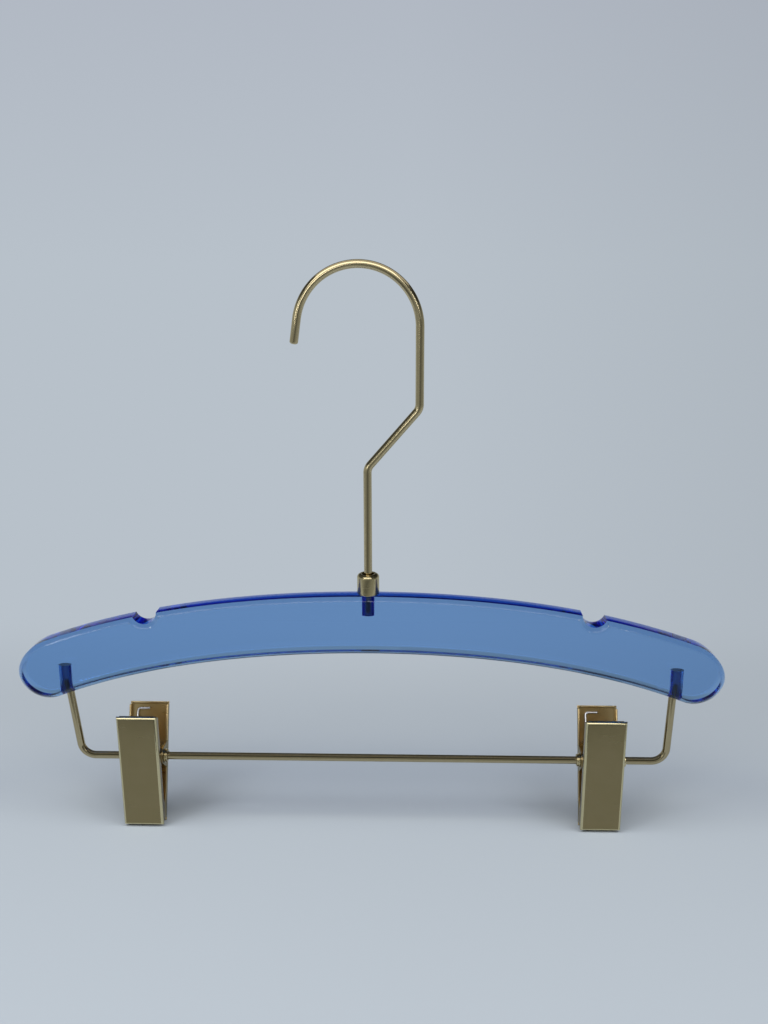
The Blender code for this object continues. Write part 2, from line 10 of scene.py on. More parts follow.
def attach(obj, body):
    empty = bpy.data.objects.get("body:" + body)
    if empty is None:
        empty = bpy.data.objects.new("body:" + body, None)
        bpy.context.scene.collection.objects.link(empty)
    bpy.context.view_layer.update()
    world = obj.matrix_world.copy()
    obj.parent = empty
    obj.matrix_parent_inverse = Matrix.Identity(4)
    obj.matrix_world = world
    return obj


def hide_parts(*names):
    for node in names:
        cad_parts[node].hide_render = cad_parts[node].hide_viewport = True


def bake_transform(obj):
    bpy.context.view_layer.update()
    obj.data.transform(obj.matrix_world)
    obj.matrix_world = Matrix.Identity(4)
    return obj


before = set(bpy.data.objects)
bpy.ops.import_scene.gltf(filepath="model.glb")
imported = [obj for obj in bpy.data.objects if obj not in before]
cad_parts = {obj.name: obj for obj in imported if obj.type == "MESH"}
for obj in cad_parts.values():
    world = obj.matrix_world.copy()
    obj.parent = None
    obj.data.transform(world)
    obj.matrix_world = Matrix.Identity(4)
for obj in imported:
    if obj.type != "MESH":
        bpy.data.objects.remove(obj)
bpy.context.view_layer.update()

# Metres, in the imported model's frame: +X right along the blade, +Y away, +Z up,
# the origin on the inside of the hook. The sizes are the ones the solids were made with.


def toLinear(hexColour):
    parts = [int(hexColour[i:i + 2], 16) / 255 for i in (1, 3, 5)]
    return tuple(p / 12.92 if p <= 0.04045 else ((p + 0.055) / 1.055) ** 2.4 for p in parts) + (1.0,)


def addNode(tree, kind, inputs, **settings):
    node = tree.nodes.new(kind)
    for name, value in settings.items():
        setattr(node, name, value)
    for socket, value in inputs.items():
        if isinstance(value, bpy.types.NodeSocket):
            tree.links.new(value, node.inputs[socket])
        else:
            node.inputs[socket].default_value = value
    return node


def blankMaterial(name):
    material = bpy.data.materials.new(name)
    material.use_nodes = True
    material.node_tree.nodes.clear()
    return material, material.node_tree


def addObject(name, data):
    piece = bpy.data.objects.new(name, data)
    bpy.context.scene.collection.objects.link(piece)
    return piece


def meshObject(name, shape, material=None, smoothAngle=30.0):
    mesh = bpy.data.meshes.new(name)
    shape.to_mesh(mesh)
    shape.free()
    mesh.shade_smooth()
    mesh.set_sharp_from_angle(angle=math.radians(smoothAngle))
    if material:
        mesh.materials.append(material)
    return addObject(name, mesh)


# A piece's mesh, opened for changes and put back
@contextmanager
def openMesh(piece):
    shape = bmesh.new()
    shape.from_mesh(piece.data)
    yield shape
    shape.to_mesh(piece.data)
    shape.free()


def bakeModifiers(piece):
    depsgraph = bpy.context.evaluated_depsgraph_get()
    mesh = bpy.data.meshes.new_from_object(piece.evaluated_get(depsgraph))
    piece.modifiers.clear()
    old, piece.data = piece.data, mesh
    bpy.data.meshes.remove(old)
    mesh.name = piece.name


def carve(piece, operation, tool):
    modifier = piece.modifiers.new(operation.lower(), "BOOLEAN")
    modifier.operation = operation
    modifier.object = tool
    modifier.solver = "EXACT"
    bakeModifiers(piece)
    bpy.data.objects.remove(tool)


overcut = 0.002              # how far a cutting tool runs past the piece


def drillTool(radius, length, place, sides=64):
    shape = bmesh.new()
    bmesh.ops.create_cone(shape, cap_ends=True, segments=sides, radius1=radius, radius2=radius, depth=length)
    bmesh.ops.transform(shape, matrix=place, verts=shape.verts)
    return meshObject("drill", shape)


def arcPoints(centre, radius, start, end, steps):
    angles = [start + (end - start) * step / steps for step in range(steps + 1)]
    return [(centre[0] + radius * math.cos(angle), centre[1] + radius * math.sin(angle)) for angle in angles]


# A path of straight runs with its inner corners rounded to one radius
def roundedPath(corners, radius, steps):
    points = [Vector(corners[0])]
    for before, corner, after in zip(corners, corners[1:], corners[2:]):
        corner = Vector(corner)
        back = (Vector(before) - corner).normalized()
        ahead = (Vector(after) - corner).normalized()
        halfAngle = back.angle(ahead) / 2
        centre = corner + (back + ahead).normalized() * radius / math.sin(halfAngle)
        first = corner + back * radius / math.tan(halfAngle) - centre
        last = corner + ahead * radius / math.tan(halfAngle) - centre
        turn = first.angle(last)
        for step in range(steps + 1):
            share = step / steps
            blend = first * math.sin((1 - share) * turn) + last * math.sin(share * turn)
            points.append(centre + blend / math.sin(turn))
    return points + [Vector(corners[-1])]


# The stage is pale paper under soft lights, seen by the photograph's camera
stageSet = {
    "paper": "#B8C1CA",          # pale blue grey, as the paper shows in the picture
    "paperTop": "#B1B8C3",       # a little darker high up behind the hanger
    "floorZ": -0.27805,          # just under the clips' lower edges
    "paperFront": -0.15,         # the table's near edge, with the dim room beyond it
    "paperReach": 3.0,
    "paperFade": {"From Min": 0.05, "From Max": 0.30},   # this far behind the hanger it takes one flat tone
    # the backdrop dims towards the right, by the bearing's sine
    "sideFade": {"From Min": 0.0, "From Max": 0.45, "To Min": 1.0, "To Max": 0.86},
    "ambient": 0.08,
}

cameraSet = {
    "place": (0.02125, -0.46240, 0.00244),
    "turn": -0.029098,           # radians, to the left of straight ahead
    "pitch": 0.244783,           # radians below the horizon
    "roll": -0.002514,
    "lens": 35.046,
}


bpy.context.scene.view_settings.view_transform = "Standard"
# light zigzags many times inside a clear blade before it leaves
bpy.context.scene.cycles.max_bounces = 32
bpy.context.scene.cycles.glossy_bounces = 24
bpy.context.scene.cycles.transmission_bounces = 24


def makeCamera():
    turn, pitch, roll = cameraSet["turn"], cameraSet["pitch"], cameraSet["roll"]
    ahead = Vector((math.sin(turn) * math.cos(pitch), math.cos(turn) * math.cos(pitch), -math.sin(pitch)))
    right = Vector((math.cos(turn), -math.sin(turn), 0.0))
    up = right.cross(ahead)
    across = right * math.cos(roll) + up * math.sin(roll)
    upright = up * math.cos(roll) - right * math.sin(roll)
    lens = bpy.data.cameras.new("pictureCamera")
    lens.lens = cameraSet["lens"]
    lens.sensor_width = 36.0
    lens.clip_start = 0.01
    camera = addObject("pictureCamera", lens)
    place = Matrix((across, upright, -ahead)).transposed().to_4x4()
    place.translation = cameraSet["place"]
    camera.matrix_world = place
    bpy.context.scene.camera = camera


# Paper: plain diffuse card near the hanger, and its own flat colour far off, so no horizon shows
def paperMaterial():
    material, tree = blankMaterial("matt_paper_sweep")
    place = addNode(tree, "ShaderNodeNewGeometry", {})
    spot = addNode(tree, "ShaderNodeSeparateXYZ", {0: place.outputs["Position"]})
    far = addNode(tree, "ShaderNodeMapRange", {"Value": spot.outputs["Y"], **stageSet["paperFade"]},
                  interpolation_type="SMOOTHSTEP")
    path = addNode(tree, "ShaderNodeLightPath", {})
    seen = path.outputs["Is Camera Ray"]
    for ray in ("Is Glossy Ray", "Is Transmission Ray"):
        seen = addNode(tree, "ShaderNodeMath", {0: seen, 1: path.outputs[ray]},
                       operation="MAXIMUM").outputs[0]
    share = addNode(tree, "ShaderNodeMath", {0: seen, 1: far.outputs["Result"]}, operation="MULTIPLY")
    card = addNode(tree, "ShaderNodeBsdfDiffuse", {"Color": toLinear(stageSet["paper"])})
    fromCamera = addNode(tree, "ShaderNodeVectorMath",
                         {0: place.outputs["Position"], 1: cameraSet["place"]}, operation="SUBTRACT")
    bearing = addNode(tree, "ShaderNodeVectorMath", {0: fromCamera.outputs[0]}, operation="NORMALIZE")
    axes = addNode(tree, "ShaderNodeSeparateXYZ", {0: bearing.outputs[0]})
    dimmed = addNode(tree, "ShaderNodeMapRange", {"Value": axes.outputs["X"], **stageSet["sideFade"]})
    glow = addNode(tree, "ShaderNodeEmission",
                   {"Color": toLinear(stageSet["paper"]), "Strength": dimmed.outputs["Result"]})
    mix = addNode(tree, "ShaderNodeMixShader", {0: share.outputs[0], 1: card.outputs[0], 2: glow.outputs[0]})
    addNode(tree, "ShaderNodeOutputMaterial", {"Surface": mix.outputs[0]})
    return material


def makePaper():
    shape = bmesh.new()
    reach, front = stageSet["paperReach"], stageSet["paperFront"]
    corners = [(-reach, front), (reach, front), (reach, reach), (-reach, reach)]
    shape.faces.new([shape.verts.new((x, y, stageSet["floorZ"])) for x, y in corners])
    meshObject("paper", shape, paperMaterial())


# The room: the paper's colour straight to the camera, and for metal and acrylic a pale
# backdrop behind with dimmer walls beside it and a dark side in front
roomSet = {
    "wallTint": "#F7FFFF",
    # the walls' brightness round the room: 0 and 1 are behind the hanger, 0.25 left, 0.5 in front, 0.75 right
    "walls": ((0.0, 0.46), (0.20, 0.42), (0.30, 0.33), (0.46, 0.30), (0.51, 0.13), (0.60, 0.13),
              (0.66, 0.26), (0.80, 0.36), (1.0, 0.46)),
    "lean": (0.43, 0.04),        # the dark side leans, further right higher up
    # radians to either side of straight behind, and the cosine of the bearing off straight in front
    "backdropSides": {"From Min": 0.40, "From Max": 0.52, "To Min": 1.0, "To Max": 0.0},
    "stripSides": {"From Min": 0.3, "From Max": 0.6},
    # what changes with height, here the sine of the angle up
    "byHeight": {
        "backdropTop": {"From Min": 0.20, "From Max": 0.28, "To Min": 1.0, "To Max": 0.08},
        "wallTop": {"From Min": 0.15, "From Max": 0.40, "To Min": 1.0, "To Max": 0.16},
        "stripFoot": {"From Min": 0.0, "From Max": 0.07},
        "stripTop": {"From Min": 0.22, "From Max": 0.36, "To Min": 0.20, "To Max": 0.0},
        "paperTop": {"From Min": 0.0, "From Max": 0.25},
    },
}


def makeRoom():
    world = bpy.data.worlds.new("studioRoom")
    bpy.context.scene.world = world
    world.use_nodes = True
    world.cycles.sampling_method = "NONE"
    tree = world.node_tree
    tree.nodes.clear()
    toward = addNode(tree, "ShaderNodeTexCoord", {})
    axes = addNode(tree, "ShaderNodeSeparateXYZ", {0: toward.outputs["Generated"]})
    height = {}
    for name, fade in roomSet["byHeight"].items():
        faded = addNode(tree, "ShaderNodeMapRange", {"Value": axes.outputs["Z"], **fade})
        height[name] = faded.outputs["Result"]
    front = addNode(tree, "ShaderNodeMath", {0: axes.outputs["Y"], 1: -1.0}, operation="MULTIPLY")
    bearing = addNode(tree, "ShaderNodeMath", {0: axes.outputs["X"], 1: front.outputs[0]},
                      operation="ARCTAN2")
    turn = addNode(tree, "ShaderNodeMapRange",
                   {"Value": bearing.outputs[0], "From Min": -math.pi, "From Max": math.pi})
    perHeight, atHorizon = roomSet["lean"]
    lean = addNode(tree, "ShaderNodeMath", {0: axes.outputs["Z"], 1: perHeight, 2: atHorizon},
                   operation="MULTIPLY_ADD")
    leant = addNode(tree, "ShaderNodeMath", {0: turn.outputs["Result"], 1: lean.outputs[0]},
                    operation="SUBTRACT")
    walls = addNode(tree, "ShaderNodeValToRGB", {0: leant.outputs[0]})
    ramp = walls.color_ramp
    wallTint = toLinear(roomSet["wallTint"])
    while len(ramp.elements) < len(roomSet["walls"]):
        ramp.elements.new(0.5)
    for element, (place, level) in zip(ramp.elements, roomSet["walls"]):
        element.position = place
        element.color = [level * part for part in wallTint[:3]] + [1.0]
    # the pale backdrop stands only behind the hanger and ends about 13 degrees up
    side = addNode(tree, "ShaderNodeMath", {0: axes.outputs["X"], 1: axes.outputs["Y"]}, operation="ARCTAN2")
    away = addNode(tree, "ShaderNodeMath", {0: side.outputs[0]}, operation="ABSOLUTE")
    behind = addNode(tree, "ShaderNodeMapRange", {"Value": away.outputs[0], **roomSet["backdropSides"]})
    level = addNode(tree, "ShaderNodeMix",
                    {0: behind.outputs["Result"], 2: height["wallTop"], 3: height["backdropTop"]})
    wall = addNode(tree, "ShaderNodeBackground",
                   {"Color": walls.outputs["Color"], "Strength": level.outputs[0]})
    # a pale strip in front, from the table's edge to about 20 degrees up, shows in the clips' leaves
    strip = addNode(tree, "ShaderNodeMath", {0: height["stripFoot"], 1: height["stripTop"]},
                    operation="MULTIPLY")
    ahead = addNode(tree, "ShaderNodeMapRange", {"Value": front.outputs[0], **roomSet["stripSides"]})
    strip = addNode(tree, "ShaderNodeMath", {0: strip.outputs[0], 1: ahead.outputs["Result"]},
                    operation="MULTIPLY")
    paleStrip = addNode(tree, "ShaderNodeBackground", {"Color": wallTint, "Strength": strip.outputs[0]})
    seenRoom = addNode(tree, "ShaderNodeAddShader", {0: wall.outputs[0], 1: paleStrip.outputs[0]})
    backdrop = addNode(tree, "ShaderNodeMix", {0: height["paperTop"], 6: toLinear(stageSet["paper"]),
                                               7: toLinear(stageSet["paperTop"])}, data_type="RGBA")
    dimmed = addNode(tree, "ShaderNodeMapRange", {"Value": axes.outputs["X"], **stageSet["sideFade"]})
    seenBackdrop = addNode(tree, "ShaderNodeBackground",
                           {"Color": backdrop.outputs[2], "Strength": dimmed.outputs["Result"]})
    ambient = addNode(tree, "ShaderNodeBackground",
                      {"Color": toLinear("#FFFFFF"), "Strength": stageSet["ambient"]})
    path = addNode(tree, "ShaderNodeLightPath", {})
    shiny = addNode(tree, "ShaderNodeMath", {0: path.outputs["Is Glossy Ray"],
                                             1: path.outputs["Is Transmission Ray"]}, operation="MAXIMUM")
    lit = addNode(tree, "ShaderNodeMixShader",
                  {0: shiny.outputs[0], 1: ambient.outputs[0], 2: seenRoom.outputs[0]})
    final = addNode(tree, "ShaderNodeMixShader",
                    {0: path.outputs["Is Camera Ray"], 1: lit.outputs[0], 2: seenBackdrop.outputs[0]})
    addNode(tree, "ShaderNodeOutputWorld", {"Surface": final.outputs[0]})


# Each lamp's centre, half width and half height, what it looks at, radiance, and whether shiny
# things show it. The top boxes cast the soft shadows, and the strip boxes glint on the blade.
# A lamp named for a piece lights that one alone, and the front softbox lights all but the bar
lampSet = {
    "frontSoftbox": ((-0.10, -0.70, 0.62), (0.66, 0.30), (0.0, 0.0, 0.0), 2.2, True),
    "leftTopBox": ((-0.60, -0.27, 0.60), (0.28, 0.28), (0.0, 0.0, -0.27), 5.6, False),
    "rightTopBox": ((0.60, -0.27, 0.60), (0.28, 0.28), (0.0, 0.0, -0.27), 4.6, False),
    "leftStripBox": ((-0.66, -0.75, 0.08), (0.03, 0.09), (-0.12, 0.0, -0.17), 7.0, True),
    "rightStripBox": ((0.50, -0.85, 0.17), (0.03, 0.08), (0.12, 0.0, -0.17), 6.0, True),
    "hookTopCard": ((0.10, 0.05, 0.70), (0.80, 0.50), (0.10, 0.05, 0.0), 0.55, True),
    "hookFrontBox": ((-0.18, -0.88, 0.04), (0.08, 0.07), (0.0, 0.0, 0.0), 3.6, True),
    "barTopCard": ((0.0, -0.05, 0.50), (0.90, 0.40), (0.0, -0.05, 0.0), 0.22, True),
    "bladeRimBox": ((-0.64, -0.54, 0.24), (0.10, 0.10), (-0.15, 0.0, -0.16), 7.0, True),
}


def makeLamps():
    for name, (centre, half, target, radiance, shows) in lampSet.items():
        light = bpy.data.lights.new(name, "AREA")
        light.shape = "RECTANGLE"
        light.size, light.size_y = 2 * half[0], 2 * half[1]
        light.energy = radiance * math.pi * light.size * light.size_y
        lamp = addObject(name, light)
        way = Vector(target) - Vector(centre)
        lamp.matrix_world = Matrix.Translation(centre) @ way.to_track_quat("-Z", "Y").to_matrix().to_4x4()
        lamp.visible_camera = False
        lamp.visible_glossy = lamp.visible_transmission = shows


# With "INCLUDE" the lamp lights this piece alone, with "EXCLUDE" all but it
def linkLamp(lamp, piece, state):
    receivers = bpy.data.collections.new(lamp + "Receivers")
    receivers.objects.link(piece)
    receivers.collection_objects[0].light_linking.link_state = state
    bpy.data.objects[lamp].light_linking.receiver_collection = receivers


makeCamera()
makePaper()
makeRoom()
makeLamps()
print("stage and camera made")


# Cast acrylic tinted through the mass, faces as cast and edges diamond polished:
# clear and slick, its blue deepening with the length of acrylic that is looked through
acrylicSet = {
    "tint": "#3FBFFB",
    "density": 102.0,
    "surface": "#F0F0F0",
    "hazeScale": 80.0,           # handling haze, in patches about 12 mm across
    "haze": {"From Min": 0.35, "From Max": 0.75, "To Min": 0.0, "To Max": 0.02},
    "polishedRough": 0.055,      # the sawn and polished edges keep a faint drag
    "drilledRough": 0.30,        # the drill leaves the bores' walls matt
    # the bores' walls are painted a darker blue: painted shade
    "paintedBoreShade": "#2C5496",
    "lampPass": "#C8C8C8",       # how much of the lamps' light reaches what stands behind
}


def castAcrylic():
    material, tree = blankMaterial("tinted_cast_acrylic_polished")
    where = addNode(tree, "ShaderNodeTexCoord", {}).outputs["Object"]
    haze = addNode(tree, "ShaderNodeTexNoise",
                   {"Vector": where, "Scale": acrylicSet["hazeScale"], "Detail": 3.0})
    rough = addNode(tree, "ShaderNodeMapRange", {"Value": haze.outputs["Fac"], **acrylicSet["haze"]})
    polished = addNode(tree, "ShaderNodeAttribute", {}, attribute_name="polished").outputs["Fac"]
    dragged = addNode(tree, "ShaderNodeMix",
                      {0: polished, 2: rough.outputs["Result"], 3: acrylicSet["polishedRough"]})
    drilled = addNode(tree, "ShaderNodeAttribute", {}, attribute_name="drilled").outputs["Fac"]
    matt = addNode(tree, "ShaderNodeMix", {0: drilled, 2: dragged.outputs[0], 3: acrylicSet["drilledRough"]})
    # the drilled faces take the darker blue, painted shade
    wall = addNode(tree, "ShaderNodeMix", {0: drilled, 6: toLinear(acrylicSet["surface"]),
                                           7: toLinear(acrylicSet["paintedBoreShade"])}, data_type="RGBA")
    shader = addNode(tree, "ShaderNodeBsdfPrincipled", {
        "Base Color": wall.outputs[2], "IOR": 1.49, "Transmission Weight": 1.0, "Roughness": matt.outputs[0]})
    lampPass = addNode(tree, "ShaderNodeBsdfTransparent", {"Color": toLinear(acrylicSet["lampPass"])})
    path = addNode(tree, "ShaderNodeLightPath", {})
    lampRay = addNode(tree, "ShaderNodeMath", {0: path.outputs["Is Shadow Ray"],
                                               1: path.outputs["Is Diffuse Ray"]}, operation="MAXIMUM")
    mix = addNode(tree, "ShaderNodeMixShader",
                  {0: lampRay.outputs[0], 1: shader.outputs[0], 2: lampPass.outputs[0]})
    tint = addNode(tree, "ShaderNodeVolumeAbsorption",
                   {"Color": toLinear(acrylicSet["tint"]), "Density": acrylicSet["density"]})
    addNode(tree, "ShaderNodeOutputMaterial", {"Surface": mix.outputs[0], "Volume": tint.outputs[0]})
    return material


# Each metal's two tones, its roughness from least to most, its grain in cells a metre, the grain's relief
# in metres and how it is stretched. The real marks are finer than a pixel, so all are drawn coarser
metalSet = {
    # steel wire drawn through a die, then champagne gold plated: a warm mirror with hardly any blur
    # over its faint marks, drawn 3 mm across
    "champagne_plated_drawn_wire": {
        "tones": ("#CFC09B", "#C9B88F"), "rough": (0.14, 0.16), "grain": 300.0, "relief": 0.0000001,
        "stretch": (1, 1, 1)},
    # the same wire bent, a little more uneven; its darker, browner tone is painted shade, for the bar in the
    # blade's shade
    "champagne_plated_bent_wire_painted_shade": {
        "tones": ("#B3A684", "#AC9D79"), "rough": (0.12, 0.16), "grain": 300.0, "relief": 0.0000002,
        "stretch": (1, 1, 1)},
    # turned steel, plated: tool rings, drawn about 0.4 mm apart, spread the lights into soft bands
    "champagne_plated_turned_steel": {
        "tones": ("#CFC29B", "#C6B78C"), "rough": (0.18, 0.28), "grain": 700.0, "relief": 0.000006,
        "stretch": (0.05, 0.05, 4.0)},
    # steel sheet plated and satin brushed, with lines drawn 2 mm wide: a soft olive gold face and folds that
    # the press burnished smoother. The folds' lighter colour is a painted highlight, and the inside's
    # yellower one painted light
    "champagne_plated_satin_sheet": {
        "tones": ("#928462", "#8B7E5A"), "rough": (0.27, 0.31), "grain": 500.0, "relief": 0.0000004,
        "stretch": (0.1, 1.0, 1.0), "inside": "#CDB585", "fold": "#CFC49C", "foldRough": 0.18},
    # hard drawn spring wire, nickel plated: cool silver, its gloss mottled at about 1 mm
    "bright_nickel_plated_spring_wire": {
        "tones": ("#F2F3F5", "#E6E7EA"), "rough": (0.26, 0.34), "grain": 900.0, "relief": 0.000001,
        "stretch": (1, 1, 1)},
}


def platedMetal(name):
    look = metalSet[name]
    tone, deepTone = [toLinear(colour) for colour in look["tones"]]
    low, high = look["rough"]
    material, tree = blankMaterial(name)
    where = addNode(tree, "ShaderNodeTexCoord", {}).outputs["Object"]
    lie = addNode(tree, "ShaderNodeMapping", {"Vector": where, "Scale": look["stretch"]})
    # the plate is a little uneven, in patches about 8 mm across
    patch = addNode(tree, "ShaderNodeTexNoise", {"Vector": where, "Scale": 120.0, "Detail": 2.0})
    grain = addNode(tree, "ShaderNodeTexNoise",
                    {"Vector": lie.outputs[0], "Scale": look["grain"], "Detail": 4.0}).outputs["Fac"]
    tone = addNode(tree, "ShaderNodeMix", {0: patch.outputs["Fac"], 6: tone, 7: deepTone}, data_type="RGBA")
    rough = addNode(tree, "ShaderNodeMapRange", {"Value": grain, "From Min": 0.3, "From Max": 0.7,
                                                 "To Min": low, "To Max": high}).outputs["Result"]
    # the inner faces and the folds take lighter colours, painted light and a painted highlight; the folds'
    # lower roughness is real
    for mark in ("inside", "fold"):
        if mark in look:
            marked = addNode(tree, "ShaderNodeAttribute", {}, attribute_name=mark).outputs["Fac"]
            tone = addNode(tree, "ShaderNodeMix", {0: marked, 6: tone.outputs[2], 7: toLinear(look[mark])},
                           data_type="RGBA")
        if mark + "Rough" in look:
            rough = addNode(tree, "ShaderNodeMix", {0: marked, 2: rough, 3: look[mark + "Rough"]}).outputs[0]
    relief = addNode(tree, "ShaderNodeBump", {"Height": grain, "Distance": look["relief"], "Strength": 0.5})
    shader = addNode(tree, "ShaderNodeBsdfPrincipled", {
        "Base Color": tone.outputs[2], "Metallic": 1.0, "Roughness": rough, "Normal": relief.outputs[0]})
    addNode(tree, "ShaderNodeOutputMaterial", {"Surface": shader.outputs[0]})
    return material


acrylic = castAcrylic()
platedWire = platedMetal("champagne_plated_drawn_wire")
platedBarPaintedShade = platedMetal("champagne_plated_bent_wire_painted_shade")
platedTurning = platedMetal("champagne_plated_turned_steel")
satinSheet = platedMetal("champagne_plated_satin_sheet")
springSteel = platedMetal("bright_nickel_plated_spring_wire")
print("materials made")


# The blade: an arched band with a full round at both ends, two strap notches and three blind bores
bladeSet = {
    "height": 0.0293,
    "thickness": 0.0121,
    "bevelFace": 0.00195,        # how far the bevel reaches over the face and over the edge
    "bevelEdge": 0.00195,
    "edgeBreak": 0.00012,        # how far the polishing wheel breaks the bevel's outer corner
    "faceRound": 0.0015,         # and the radius that it leaves between bevel and face
    "archDrop": 0.0251,
    "archSquareness": 0.222,
    "endShoulder": 0.0060,
    "topZ": -0.1545,
    "notchX": 0.1100,
    "notchRadius": 0.0062,
    "notchDepth": 0.0048,
    "endCentreX": 0.16035,
    "endTrim": 0.00006,          # what the polish takes off the full rounds
    "endBoreX": 0.1518,
    "endBoreRadius": 0.0032,
    "endBoreDepth": 0.0149,
    "hookBoreRadius": 0.0031,
    "hookBoreDepth": 0.0100,
}


def archZ(x):
    share, square = abs(x) / bladeSet["endCentreX"], bladeSet["archSquareness"]
    curve = (1 - square) * share ** 2 + square * share ** 4
    return bladeSet["topZ"] - bladeSet["height"] / 2 - bladeSet["archDrop"] * curve


def archSlope(x):
    share, square = x / bladeSet["endCentreX"], bladeSet["archSquareness"]
    curve = 2 * (1 - square) * share + 4 * square * share ** 3
    return -bladeSet["archDrop"] * curve / bladeSet["endCentreX"]


# Side 1 is the top edge, side -1 the bottom edge
def edgePoint(x, side):
    angle = math.atan(archSlope(x))
    reach = side * bladeSet["height"] / 2
    return (x - reach * math.sin(angle), archZ(x) + reach * math.cos(angle))


# The place on the arch that a point of the edge belongs to, closed in on in rounds
def archUnder(edgeX, side, rounds=20):
    x = edgeX
    for _ in range(rounds):
        x += edgeX - edgePoint(x, side)[0]
    return x


def notchPoints(steps):
    onArch = archUnder(bladeSet["notchX"], 1)
    angle = math.atan(archSlope(onArch))
    edge = edgePoint(onArch, 1)
    lift = bladeSet["notchRadius"] - bladeSet["notchDepth"]
    centre = (edge[0] - lift * math.sin(angle), edge[1] + lift * math.cos(angle))
    opening = math.asin(lift / bladeSet["notchRadius"])
    start, end = math.pi + opening + angle, 2 * math.pi - opening + angle
    return arcPoints(centre, bladeSet["notchRadius"], start, end, steps)


def endPoints(steps):
    centreX, half = bladeSet["endCentreX"], bladeSet["height"] / 2
    lean, radius = math.atan(archSlope(centreX)), half - bladeSet["endTrim"]
    points = []
    for step in range(steps + 1):
        angle = math.pi / 2 - math.pi * step / steps
        shoulder = bladeSet["endShoulder"] if angle > 0 else 0.0
        along = (radius + shoulder) * math.cos(angle) - shoulder
        across = half * math.sin(angle)
        points.append((centreX + along * math.cos(lean) - across * math.sin(lean),
                       archZ(centreX) + along * math.sin(lean) + across * math.cos(lean)))
    return points


def bladeOutline(archSteps=150, endSteps=84, notchSteps=36):
    stations = [bladeSet["endCentreX"] * step / archSteps for step in range(archSteps + 1)]
    spacing = bladeSet["endCentreX"] / archSteps
    notch = notchPoints(notchSteps)
    end = endPoints(endSteps)
    top = [edgePoint(x, 1) for x in stations]
    before = [p for p in top if p[0] < notch[0][0] - spacing / 2]
    after = [p for p in top if notch[-1][0] + spacing / 2 < p[0] < end[0][0] - spacing / 2]
    bottom = [edgePoint(x, -1) for x in reversed(stations)]
    right = before + notch + after + end + bottom[1:]
    return right + [(-x, z) for x, z in reversed(right[1:-1])]


# Where two lines through two points each meet in their plane
def meetingPoint(start, further, beyond, end):
    along, across, gap = further - start, end - beyond, beyond - start
    share = gap.cross(across) / along.cross(across)
    return start + along * share


# The outline moved inwards by a distance. Where it would cross itself beside a sharp
# corner, the stray points, too near the old outline, gather where the good stretches meet
def insetOutline(outline, inset, reach=30, near=0.99):
    corners = [Vector(point) for point in outline]
    count = len(corners)
    moved = []
    for index, here in enumerate(corners):
        first = (here - corners[index - 1]).normalized()
        second = (corners[(index + 1) % count] - here).normalized()
        one = Vector((first.y, -first.x))
        two = Vector((second.y, -second.x))
        moved.append(here + (one + two) * inset / (1 + one.dot(two)))
    stray = []
    for index, point in enumerate(moved):
        sides = [intersect_point_line(point, corners[other % count], corners[(other + 1) % count])
                 for other in range(index - reach, index + reach)]
        nearest = min([(point - foot.to_2d()).length for foot, share in sides if 0 <= share <= 1],
                      default=inset)
        stray.append(nearest < inset * near)
    for index in range(count):
        if stray[index] and not stray[index - 1]:
            last = index
            while stray[(last + 1) % count]:
                last += 1
            meeting = meetingPoint(moved[index - 2], moved[index - 1],
                                   moved[(last + 1) % count], moved[(last + 2) % count])
            for gathered in range(index, last + 1):
                moved[gathered % count] = meeting
    return moved


# Inset and half thickness from the edge's flat, over the bevel and its rounded corner, to the face
def bevelProfile(roundSteps=6):
    half, face, edge = bladeSet["thickness"] / 2, bladeSet["bevelFace"], bladeSet["bevelEdge"]
    soft, radius = bladeSet["edgeBreak"], bladeSet["faceRound"]
    lean = math.atan2(edge, face)
    tangent = radius * math.tan(lean / 2)
    profile = [
        (0.0, half - edge - soft),
        (soft * 0.15, half - edge - soft * 0.25),
        (soft * math.cos(lean), half - edge + soft * math.sin(lean)),
    ]
    for step in range(roundSteps + 1):
        angle = lean * (1 - step / roundSteps)
        profile.append((face + tangent - radius * math.sin(angle), half - radius * (1 - math.cos(angle))))
    return profile


# Marks the drilled and the polished faces, and keeps sharp lines round the flat faces so that they stay flat
def finishBlade(blade, bores, slack=0.00002, level=0.9999):
    with openMesh(blade) as shape:
        drilled, polished = [shape.faces.layers.float.new(mark) for mark in ("drilled", "polished")]
        for face in shape.faces:
            middle = face.calc_center_median()
            inBore = any(math.hypot(middle.x - x, middle.y) < radius + slack
                         and low - slack < middle.z < high + slack for x, radius, low, high in bores)
            face[drilled] = 1.0 if inBore else 0.0
            face[polished] = 0.0 if inBore or abs(face.normal.y) > level else 1.0
        for edge in shape.edges:
            edge.smooth = edge.calc_face_angle(0.0) < math.radians(20)
            flat = [abs(face.normal.y) > level for face in edge.link_faces]
            if any(flat) and not all(flat):
                edge.smooth = False


def boreMouth():
    return edgePoint(archUnder(bladeSet["endBoreX"], -1), -1)[1]


